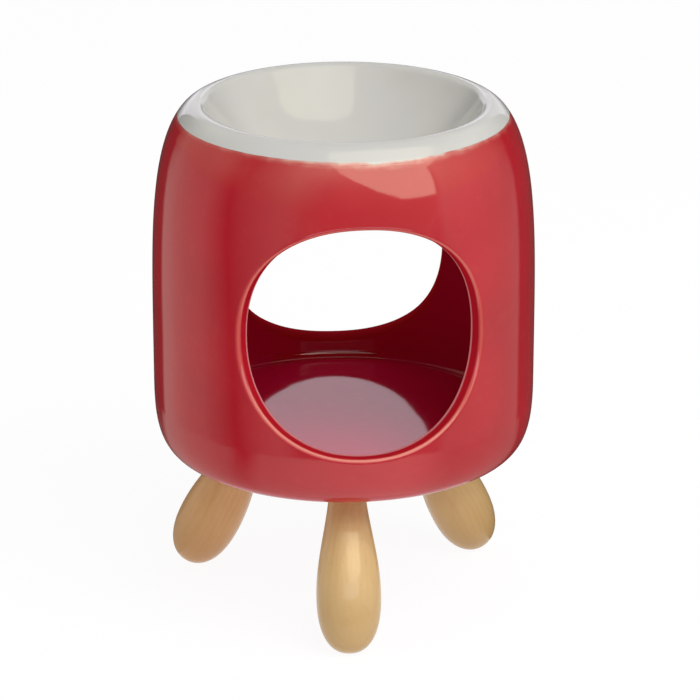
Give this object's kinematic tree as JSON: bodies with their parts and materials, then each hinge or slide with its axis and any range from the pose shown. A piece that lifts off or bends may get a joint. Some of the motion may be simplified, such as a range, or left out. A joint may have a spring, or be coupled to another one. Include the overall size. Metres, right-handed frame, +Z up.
{
  "type": "ceramic aroma lamp",
  "caption": "Round glazed ceramic oil burner on splayed turned wooden legs: a shallow oil bowl sits over a candle chamber with a wide round opening front and rear.",
  "frame": {"origin": "on the drum's axis, at the surface the lamp stands on", "axes": "+Z up along the drum's axis; the front candle opening faces -Y; +X to the right seen from the front"},
  "size_m": [0.1, 0.0995, 0.135],
  "materials": {
    "red_glaze": "glossy red glaze, inside and out",
    "white_glaze": "glossy warm white glaze",
    "leg_wood": "pale turned beech under a thin satin lacquer",
    "dowel_wood": "bare beech"
  },
  "bodies": {
    "root": {"body_shell": "red_glaze", "oil_bowl": "white_glaze", "leg_front": "leg_wood", "leg_rear_left": "leg_wood", "leg_rear_right": "leg_wood", "dowel_front": "dowel_wood", "dowel_rear_left": "dowel_wood", "dowel_rear_right": "dowel_wood"}
  },
  "joints": []
}
